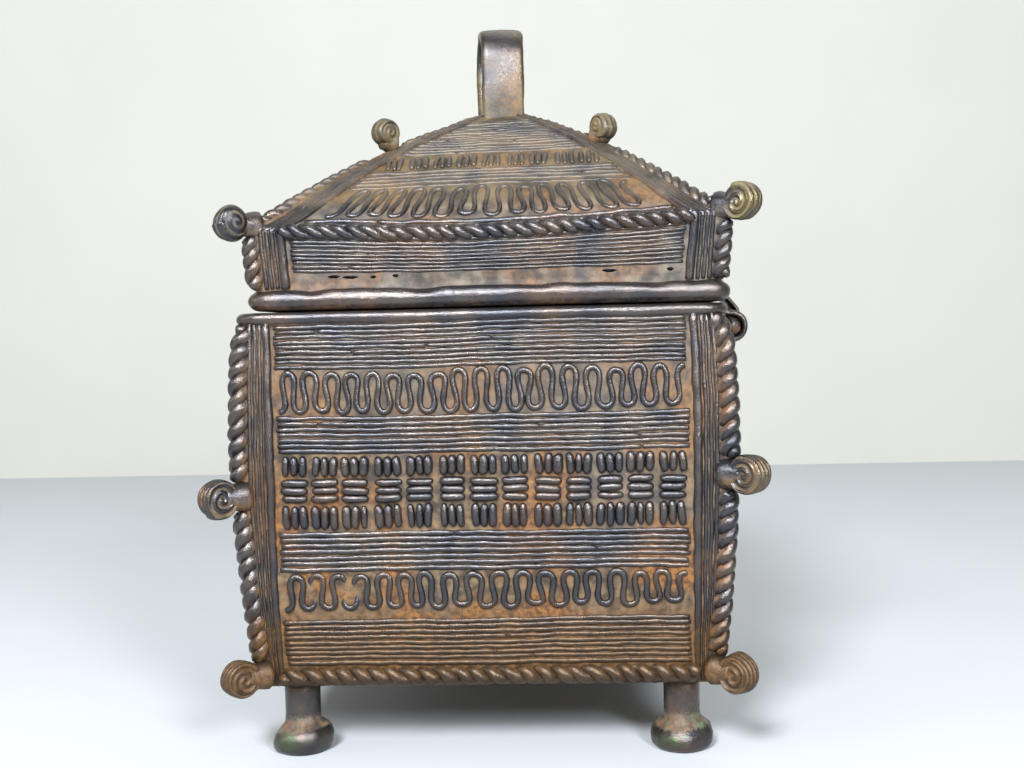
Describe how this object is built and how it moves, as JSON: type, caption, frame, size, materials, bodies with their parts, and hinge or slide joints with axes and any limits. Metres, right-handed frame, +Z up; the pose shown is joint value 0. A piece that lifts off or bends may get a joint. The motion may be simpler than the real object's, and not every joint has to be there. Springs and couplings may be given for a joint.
{
  "type": "reliquary casket",
  "caption": "Small square cast brass casket on stub feet, with a hinged hipped lid, strap handle, wound scroll knobs and wire-like relief bands.",
  "frame": {"origin": "on the ground, under the middle of the casket's bounding box", "axes": "+Z up, -Y out of the front, +X towards the hinge"},
  "size_m": [0.1122, 0.1098, 0.1536],
  "materials": {
    "dark_brass": "cast, with a dark brown patina, dust in the recesses and worn bright edges"
  },
  "bodies": {
    "casket": {"casket_body": "dark_brass", "hinge_pin": "dark_brass"},
    "lid": {"lid": "dark_brass"}
  },
  "joints": [
    {"name": "lid_hinge", "type": "hinge", "parent": "casket", "child": "lid", "pos_m": [0.0524, 0, 0.0843], "axis": [0, 1, 0], "range_deg": [0, 105]}
  ]
}
